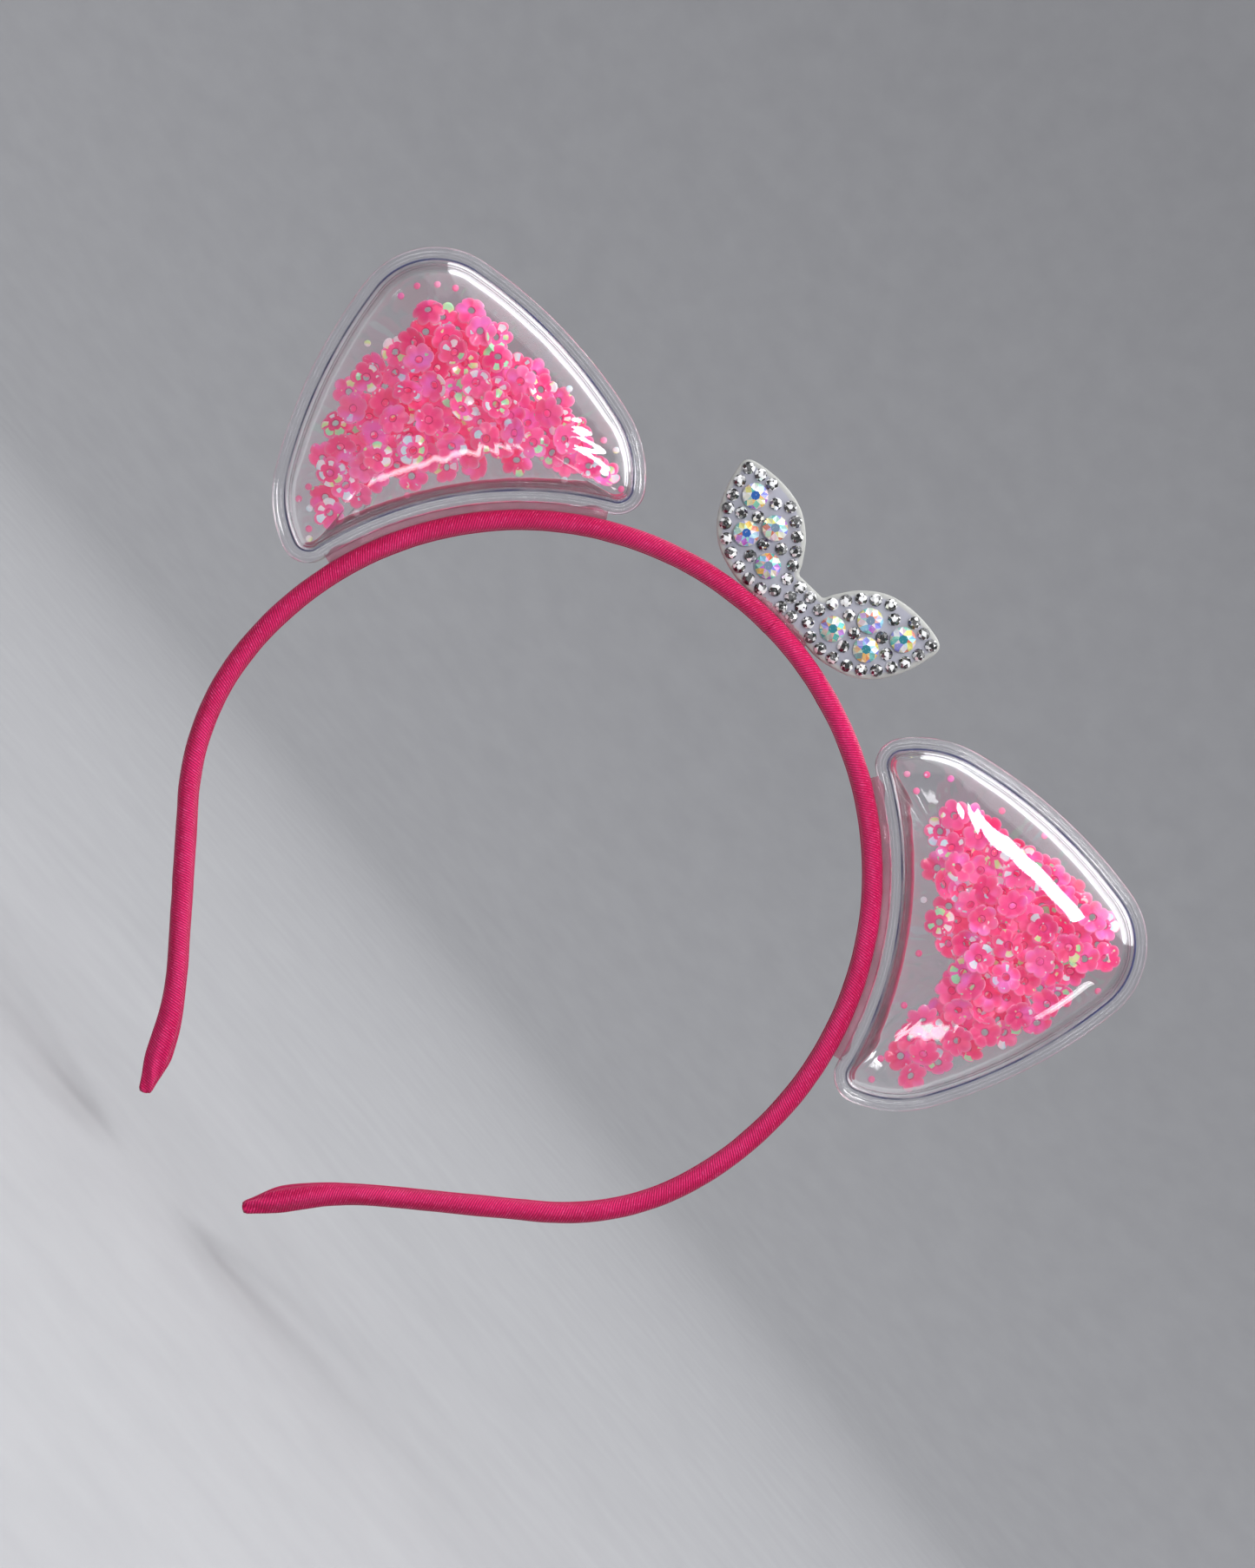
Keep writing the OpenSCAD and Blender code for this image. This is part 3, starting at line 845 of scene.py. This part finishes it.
def flower_mesh(rng):
    """One cupped six-petalled film sequin with a middle hole; on some, a few petals carry a painted glint."""
    around, rings = 60, 9
    hole, reach, film = 0.56 * MM, 2.64 * MM, 0.07 * MM
    cup = rng.uniform(0.35, 0.95) * MM
    twist = rng.uniform(-0.35, 0.35)
    angles = np.linspace(0, 2 * math.pi, around, endpoint=False)
    lobe = 0.79 + 0.21 * np.abs(np.cos(3 * angles)) ** 0.6
    petal = (np.round(angles / (math.pi / 3)) % 6).astype(int)
    from_middle = np.abs((angles + math.pi / 6) % (math.pi / 3) - math.pi / 6)
    chance = rng.choice([0, 0.35, 0.9], p=[0.38, 0.42, 0.20])
    lit = (rng.random(6) < chance)[petal]
    width = rng.uniform(0.20, 0.50, 6)[petal]
    inner = rng.uniform(0.10, 0.55, 6)[petal]
    outer = inner + rng.uniform(0.3, 0.7, 6)[petal]
    points = []
    values = {"rim": [], "throat": [], "flash": []}
    for face in (1, -1):
        for share in np.linspace(0, 1, rings)[::face]:
            r = hole + (reach * lobe - hole) * share
            crease = 0.13 * MM * share * np.cos(6 * angles)
            bowl = cup * (r / reach) ** 2 * (1 + twist * np.cos(2 * angles))
            height = bowl + crease + face * film
            points.append(np.column_stack([r * np.cos(angles), r * np.sin(angles), height]))
            # Petals that carry a painted glint
            glinting = lit & (from_middle < width) & (inner < share) & (share < outer)
            values["rim"].append(np.full(around, share**6))
            # Painted shade round the middle hole
            values["throat"].append(np.full(around, math.exp(-((share / 0.06) ** 2))))
            values["flash"].append(np.where(glinting, 1.0, 0.0))
    faces = strip_faces(2 * rings, around, close_rows=True)
    return np.concatenate(points), faces, {key: np.concatenate(value) for key, value in values.items()}


def dot_mesh(rng):
    """One small round film dot, slightly domed; one in five carries a painted glint."""
    around, film = 20, 0.07 * MM
    dome = rng.uniform(0.05, 0.12) * MM
    points = [np.array([[0, 0, -film]])]
    for r, z in ((0.3, -film), (0.55, -film * 0.7), (0.56, film * 0.7), (0.3, film + dome * 0.7)):
        points.append(ring_points(r * MM, z, around, 0))
    points.append(np.array([[0, 0, film + dome]]))
    verts = np.concatenate(points)
    faces = fan(1, around, 0, True) + strip_faces(4, around, 1) + fan(1 + 3 * around, around, len(verts) - 1)
    flat = np.ones(len(verts))
    return verts, faces, {"rim": 0.3 * flat, "throat": 0 * flat, "flash": float(rng.random() < 0.2) * flat}


def turned(normal, spin):
    """The turn that lays a flat piece square to a direction, spun about it."""
    z = normal / np.linalg.norm(normal)
    x = np.cross([0, 0, 1], z)
    x /= np.linalg.norm(x)
    y = np.cross(z, x)
    c, s = math.cos(spin), math.sin(spin)
    return np.stack([c * x + s * y, -s * x + c * y, z], 1)


# The share of the pieces that lie face down, and the room kept under the puffed wall
FACE_DOWN_SHARE = 0.28
WALL_GAP = 0.35 * MM


def make_fill(side, node, name, shape, material, seed, tilt, shift):
    """The loose pieces of one kind in one ear, each where the design has it but for a random tilt in degrees
    and a shift, and kept inside the puffed walls both at rest and after sliding."""
    rng = np.random.default_rng(seed)
    slide = joint_row(f"{side}_fill_slide")
    travel = np.array(slide["axis"]) * slide["range_m"][1]
    verts, faces = [], []
    values = {"own": [], "rim": [], "throat": [], "flash": []}
    start = 0
    for group in islands(node):
        centre = (group.min(0) + group.max(0)) / 2
        spread = group - group.mean(0)
        normal = np.linalg.eigh(spread.T @ spread)[1][:, 0]
        normal *= -np.sign(normal[1])
        lean = rng.normal(0, math.tan(math.radians(tilt)), 3)
        normal = normal + [lean[0], 0, lean[2]]
        if rng.random() < FACE_DOWN_SHARE:
            normal = -normal
        centre = centre + rng.uniform(-shift, shift, 3)
        points, local_faces, local_values = shape(rng)
        local_values["own"] = np.full(len(points), rng.random())
        placed = points @ turned(normal, rng.uniform(0, 2 * math.pi)).T + centre
        plane = object_to_ear(placed, side)
        slid = object_to_ear(placed + travel, side)
        share = np.maximum(edge_share(plane[:, :2]), edge_share(slid[:, :2]))
        limit = np.maximum((PUFF - SHELL_T) * puff_share(share) - WALL_GAP, 0.05 * MM)
        thick = rng.uniform(0, 0.12 * MM)
        plane[:, 2] = np.clip(plane[:, 2], -limit + thick, limit - thick)
        verts.append(ear_to_object(plane, side))
        faces += [tuple(i + start for i in f) for f in local_faces]
        for key, value in local_values.items():
            values[key].append(value)
        start += len(points)
    joined = {key: np.concatenate(value) for key, value in values.items()}
    obj = mesh_from(name, np.concatenate(verts), faces, joined)
    fix_normals(obj)
    obj.data.materials.append(material)
    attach(obj, f"{side}_fill")
    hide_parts(node)


# Glue ---------------------------------------------------------------------------
def make_ear_glue(side, material, seed):
    """An uneven bead along the foot of the ear, fatter at its two ends."""
    rng = np.random.default_rng(seed)
    lumps = waves(rng, 6, 2, 9)
    edge_lumps = waves(rng, 6, 2, 7)
    corner_centre = EAR_ARCS[3][0]
    half = bearing(corner_centre) - 0.5
    count, around = 150, 28
    rows = []
    for i in range(count):
        share = i / (count - 1)
        angle = -half + 2 * half * share
        tail = 1 if share in (0, 1) else min(1, 14 * min(share, 1 - share))
        end_fat = math.exp(-((min(share, 1 - share) / 0.035) - 1) ** 2)
        size = 0.55 + 0.45 * tail
        thick = (0.85 * MM + 0.55 * MM * end_fat + 0.12 * MM * float(lumps(share * 9, 1.3))) * size
        deep = (1.55 * MM + 0.45 * MM * end_fat + 0.25 * MM * float(edge_lumps(share * 9, 0.4))) * size
        middle = OUTER_R + 0.55 * MM + 0.35 * MM * end_fat
        turn = np.linspace(0, 2 * math.pi, around, endpoint=False)
        r = middle + thick * np.cos(turn)
        depth = deep * np.sin(turn)
        out = toward(angle)
        rows.append(np.column_stack([r * out[0], r * out[1], depth]))
    verts = np.concatenate(rows + [[rows[0].mean(0)], [rows[-1].mean(0)]])
    faces = strip_faces(count, around)
    faces += fan(0, around, count * around) + fan((count - 1) * around, around, count * around + 1)
    obj = fix_normals(mesh_from(f"{side}_ear_glue_bead", ear_to_object(verts, side), faces))
    obj.data.materials.append(material)
    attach(obj, "headband")
    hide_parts(f"{side}_ear_glue")


# Bow ----------------------------------------------------------------------------
def bow_to_object(points):
    """From the bow's own plane (x, y, z to the front) to the object."""
    turn = math.radians(BOW_TURN)
    c, s = math.cos(turn), math.sin(turn)
    x = c * points[:, 0] - s * points[:, 1]
    y = s * points[:, 0] + c * points[:, 1] + BOW_MIDDLE_R
    angle = math.radians(BOW_ANGLE)
    c, s = math.cos(angle), math.sin(angle)
    return np.stack([c * x - s * y, -points[:, 2], s * x + c * y - CROWN_R], 1)


def smooth_curve(points, steps):
    """A smooth curve through the points. The first and last only lead it in and out."""
    out = []
    p = np.array(points, float)
    for i in range(1, len(p) - 2):
        for k in range(steps):
            t = k / steps
            a, b, c, d = p[i - 1], p[i], p[i + 1], p[i + 2]
            square = a - 2.5 * b + 2 * c - 0.5 * d
            cube = 3 * (b - c) + d - a
            out.append(b + 0.5 * t * (c - a) + t * t * square + 0.5 * t**3 * cube)
    return out + [p[-2]]


# The backing's edge from back to front: how far in, how high as a share of half its thickness, and how
# much of the border's tint it has
BACKING_EDGE = (
    (0.9, -1, 0), (0.45, -1, 1), (0.06, -0.85, 1), (0, -0.4, 1), (0, 0.3, 1), (0.07, 0.8, 1), (0.4, 0.97, 1),
    (0.75, 1, 0.8), (1.0, 1, 0),
)


def make_backing(material):
    """The bow's film: two wings with a soft round edge."""
    wing = smooth_curve(WING_POINTS, 10)
    outline = np.array(wing + [np.array([-p[0], p[1]]) for p in wing[::-1]]) * MM
    n = len(outline)
    ahead, behind = np.roll(outline, -1, 0), np.roll(outline, 1, 0)
    tangent = ahead - behind
    tangent /= np.linalg.norm(tangent, axis=1)[:, None]
    inward = np.column_stack([tangent[:, 1], -tangent[:, 0]])
    for _ in range(6):
        inward = inward + 0.5 * (np.roll(inward, 1, 0) + np.roll(inward, -1, 0))
        inward /= np.linalg.norm(inward, axis=1)[:, None]
    half = BACKING_T / 2
    rows, border = [], []
    for inset, height, tint in BACKING_EDGE:
        q = outline + inward * inset * MM
        rows.append(np.column_stack([q, np.full(n, half * height)]))
        border.append(np.full(n, tint))
    verts = np.concatenate(rows)
    faces = strip_faces(len(rows), n)
    faces.append(tuple(range(n - 1, -1, -1)))
    faces.append(tuple(range((len(rows) - 1) * n, len(rows) * n)))
    obj = mesh_from("bow_backing_film", bow_to_object(verts), faces, {"border": np.concatenate(border)})
    bm = bmesh.new()
    bm.from_mesh(obj.data)
    bmesh.ops.triangulate(bm, faces=[f for f in bm.faces if len(f.verts) > 4])
    bmesh.ops.recalc_face_normals(bm, faces=bm.faces)
    bm.to_mesh(obj.data)
    bm.free()
    obj.data.materials.append(material)
    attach(obj, "headband")
    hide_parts("bow_backing")


def stone_parts(r, height, sides, table_share):
    """A round cut stone: a girdle, a row of kites and triangles, and a flat table."""
    girdle = 0.30 * height
    half_step = math.pi / sides
    bottom = ring_points(r * 0.98, 0, 2 * sides, 0)
    top = ring_points(r, girdle, 2 * sides, 0)
    middle = ring_points(r * 0.74, height * 0.74, sides, half_step)
    table = ring_points(r * table_share, height, sides, 0)
    verts = np.concatenate([bottom, top, middle, table])
    rim = 2 * sides
    middle_start = 2 * rim
    table_start = middle_start + sides
    faces = [tuple(range(rim - 1, -1, -1))]
    for i in range(rim):
        j = (i + 1) % rim
        faces.append((i, j, rim + j, rim + i))
    for k in range(sides):
        before = middle_start + (k - 1) % sides
        here = middle_start + k
        corner = table_start + k
        next_corner = table_start + (k + 1) % sides
        a, b, c = rim + 2 * k, rim + 2 * k + 1, rim + (2 * k + 2) % rim
        faces.append((a, b, here))
        faces.append((b, c, here))
        faces.append((a, here, corner, before))
        faces.append((corner, here, next_corner))
    faces.append(tuple(range(table_start, table_start + sides)))
    return verts, faces


def ring_points(r, z, n, start):
    """n points of a level circle, the first at the start angle in radians."""
    a = start + np.linspace(0, 2 * math.pi, n, endpoint=False)
    return np.column_stack([r * np.cos(a), r * np.sin(a), np.full(n, z)])


AURORA = [
    (0.10, 0.55, 0.50), (0.25, 0.75, 0.55), (0.85, 0.80, 0.20), (0.95, 0.55, 0.12), (0.75, 0.18, 0.10),
    (0.55, 0.18, 0.75), (0.28, 0.30, 0.85), (0.30, 0.70, 0.92), (0.92, 0.92, 0.70), (0.95, 0.75, 0.80),
    (0.95, 0.97, 0.98), (0.60, 0.90, 0.62),
]
AURORA_TABLES = [(0.02, 0.25, 0.30), (0.02, 0.12, 0.45), (0.10, 0.40, 0.36), (0.20, 0.30, 0.42)]


def make_stones(node, name, material, seed, sides, table_share, palette):
    """Stones where the design has them, each facet with its own colour."""
    rng = np.random.default_rng(seed)
    verts, faces, colours = [], [], []
    start = 0
    for group in islands(node):
        lo, hi = group.min(0), group.max(0)
        centre = (lo + hi) / 2
        r = (hi[2] - lo[2]) / 2 * 0.985
        height = (hi[1] - lo[1]) * 1.05
        spin = rng.uniform(0, math.pi)
        points, local = stone_parts(r, height, sides, table_share)
        c, s = math.cos(spin), math.sin(spin)
        x = c * points[:, 0] - s * points[:, 1]
        z = s * points[:, 0] + c * points[:, 1]
        lean = rng.normal(0, 0.05, 2)
        y = hi[1] - points[:, 2] - (lean[0] * x + lean[1] * z) * (points[:, 2] > 0)
        verts.append(np.column_stack([centre[0] + x, y, centre[2] + z]))
        for f in local:
            faces.append(tuple(i + start for i in f))
            colours.append(palette(rng, len(f) == sides))
        start += len(points)
    obj = mesh_from(name, np.concatenate(verts), faces, smooth=False)
    layer = obj.data.attributes.new("facet", "FLOAT_COLOR", "FACE")
    layer.data.foreach_set("color", np.array([(*c, 1) for c in colours], np.float32).ravel())
    fix_normals(obj)
    obj.data.materials.append(material)
    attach(obj, "headband")
    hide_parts(node)


def aurora_palette(rng, table):
    """Changing colours round a deep blue or green table."""
    if table:
        return AURORA_TABLES[rng.integers(len(AURORA_TABLES))]
    pale = rng.choice([0.0, 0.1, 0.35])
    return tuple(c * (1 - pale) + pale for c in AURORA[rng.integers(len(AURORA))])


def painted_reflection_palette(rng, table):
    """Black, grey and white facets: painted reflections of dark and bright surroundings, as a clear foiled
    stone shows.
    """
    shade = rng.choice([0.01, 0.03, 0.10, 0.30, 0.85, 1.0], p=[0.24, 0.20, 0.14, 0.10, 0.16, 0.16])
    if table:
        shade = rng.choice([0.02, 0.12, 1.0])
    return (shade, shade, shade)


def make_bow_glue(material):
    """A low uneven fillet in front of the backing's foot and behind it."""
    rng = np.random.default_rng(77)
    lumps = waves(rng, 5, 3, 11)
    count, around = 90, 16
    verts, faces = [], []
    reach = 6.0  # degrees each way from the bow's middle
    for k, side in enumerate((-1, 1)):
        rows = []
        for i in range(count):
            share = i / (count - 1)
            angle = math.radians(-BOW_ANGLE - reach + 2 * reach * share)
            ease = math.sqrt(max(0.0, 1 - (2 * share - 1) ** 6)) * 0.9 + 0.1
            thick = (0.85 + 0.22 * float(lumps(share * 12, k * 2.0))) * MM * ease
            turn = np.linspace(0, 2 * math.pi, around, endpoint=False)
            r = OUTER_R + 0.08 * MM + thick * np.cos(turn)
            depth = side * BACKING_T / 2 + thick * 1.25 * np.sin(turn)
            rows.append(np.column_stack([r * math.sin(angle), depth, r * math.cos(angle) - CROWN_R]))
        base = len(np.concatenate(verts)) if verts else 0
        verts += rows + [[rows[0].mean(0)], [rows[-1].mean(0)]]
        faces += strip_faces(count, around, base)
        faces += fan(base, around, base + count * around)
        faces += fan(base + (count - 1) * around, around, base + count * around + 1)
    obj = fix_normals(mesh_from("bow_glue_fillet", np.concatenate(verts), faces))
    obj.data.materials.append(material)
    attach(obj, "headband")
    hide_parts("bow_glue")


# Stage --------------------------------------------------------------------------
# The tips come 8 mm lower when the legs flex right out, and the floor lies clear of that.
TIP_DROP = 9 * MM

# The flat floor's radius, the radius of the sweep up from it, and the wall's height, in metres
FLOOR_R = 1.15
SWEEP_R = 0.6
WALL_HEIGHT = 1.9


def make_stage():
    """A pale floor that curves up into a pale wall all round."""
    p = Paint("stage_paper")
    fine = p.noise(60.0, 4.0)
    shade = p.ramp(fine, [(0.3, (0.315, 0.315, 0.325)), (0.7, (0.335, 0.335, 0.345))])
    paper = p.finish(p.principled(Base_Color=shade, Roughness=0.85, Specular_IOR_Level=0.2))
    floor_z = cad_box[0][2] - TIP_DROP
    profile = [(0.001, 0), (0.3, 0), (0.8, 0), (FLOOR_R, 0)]
    for a in np.linspace(0.1, math.pi / 2, 12):
        profile.append((FLOOR_R + SWEEP_R * math.sin(a), SWEEP_R * (1 - math.cos(a))))
    profile.append((FLOOR_R + SWEEP_R, WALL_HEIGHT))
    n = 96
    rows = [ring_points(r, floor_z + height, n, 0) for r, height in profile]
    faces = strip_faces(len(rows), n) + [tuple(range(n - 1, -1, -1))]
    obj = fix_normals(mesh_from("stage_sweep", np.concatenate(rows), faces))
    obj.data.materials.append(paper)


def area_light(name, place, aim, size, radiance, long_way=(1, 0, 0), mirrored=True, lit=True):
    """A rectangular lamp of a given brightness, its long side along one direction. It may light matt surfaces
    without mirroring in glossy ones, or the other way round."""
    data = bpy.data.lights.new(name, "AREA")
    data.shape = "RECTANGLE"
    data.size, data.size_y = size
    data.energy = radiance * math.pi * size[0] * size[1]
    obj = bpy.data.objects.new(name, data)
    bpy.context.scene.collection.objects.link(obj)
    obj.visible_glossy = mirrored
    obj.visible_diffuse = lit
    place = Vector(place)
    back = (place - Vector(aim)).normalized()
    side = Vector(long_way)
    side = (side - back * side.dot(back)).normalized()
    obj.matrix_world = standing(place, side, back.cross(side), back)


def make_lights():
    """An even pale world, strips that the film mirrors, and large soft lamps."""
    world = bpy.data.worlds.new("soft_world")
    bpy.context.scene.world = world
    world.use_nodes = True
    background = world.node_tree.nodes["Background"].inputs
    background["Color"].default_value = (0.95, 0.965, 1.0, 1)
    background["Strength"].default_value = 1.6
    left_ear, right_ear, middle = (-0.07, 0, -0.02), (0.055, 0, -0.01), (0, 0, -0.04)
    area_light("right_ear_strip", (0.045, -0.268, 0.150), right_ear, (0.125, 0.045), 24.0, (1, 0, 0.11))
    area_light(
        "left_ear_strip", (0.090, -0.256, -0.092), left_ear, (0.15, 0.022), 6.5, (1, 0, 0.3), lit=False
    )
    area_light("side_strip", (0.514, -0.405, 0.030), right_ear, (0.15, 0.05), 10.0, (0, 0, 1))
    area_light("top_soft", (0.10, -0.30, 1.05), middle, (1.30, 0.90), 2.9, mirrored=False)
    area_light("left_soft", (-0.60, -0.50, 0.50), middle, (0.4, 0.5), 0.5, (0, 0, 1))
    area_light("back_soft", (0.1, 0.9, 0.8), middle, (0.8, 0.5), 3.0)


# Assembly -----------------------------------------------------------------------
make_stage()
make_lights()
make_hoop()
VINYL = vinyl_material()
GLUE = glue_material()
FLOWER_FILM = sequin_material("flower_film", (0.93, 0.035, 0.25), (1.0, 0.085, 0.34), (1.0, 0.17, 0.46))
DOT_FILM = sequin_material("dot_film", (0.92, 0.08, 0.30), (0.96, 0.18, 0.42), (0.97, 0.45, 0.66))
for ear, base_seed in (("left", 100), ("right", 200)):
    for shell_face in ("front", "back"):
        make_shell(ear, shell_face, VINYL)
    flowers, dots = f"{ear}_flower_sequins", f"{ear}_round_dots"
    make_fill(
        ear, flowers, f"{ear}_flowers", flower_mesh, FLOWER_FILM, seed=base_seed, tilt=19, shift=0.6 * MM
    )
    make_fill(ear, dots, f"{ear}_dots", dot_mesh, DOT_FILM, seed=base_seed + 1, tilt=8, shift=0.2 * MM)
    make_ear_glue(ear, GLUE, base_seed + 2)
make_backing(backing_material())
AURORA_STONE = stone_material("aurora_stone", 0.25, 0.06)
make_stones(
    "bow_large_stones", "bow_large_cut_stones", AURORA_STONE, seed=5, sides=8, table_share=0.36,
    palette=aurora_palette,
)
CLEAR_STONE = stone_material("clear_stone", 0.15, 0.05)
make_stones(
    "bow_small_stones", "bow_small_cut_stones", CLEAR_STONE, seed=6, sides=6, table_share=0.42,
    palette=painted_reflection_palette,
)
make_bow_glue(GLUE)

bpy.context.scene.view_settings.view_transform = "Standard"
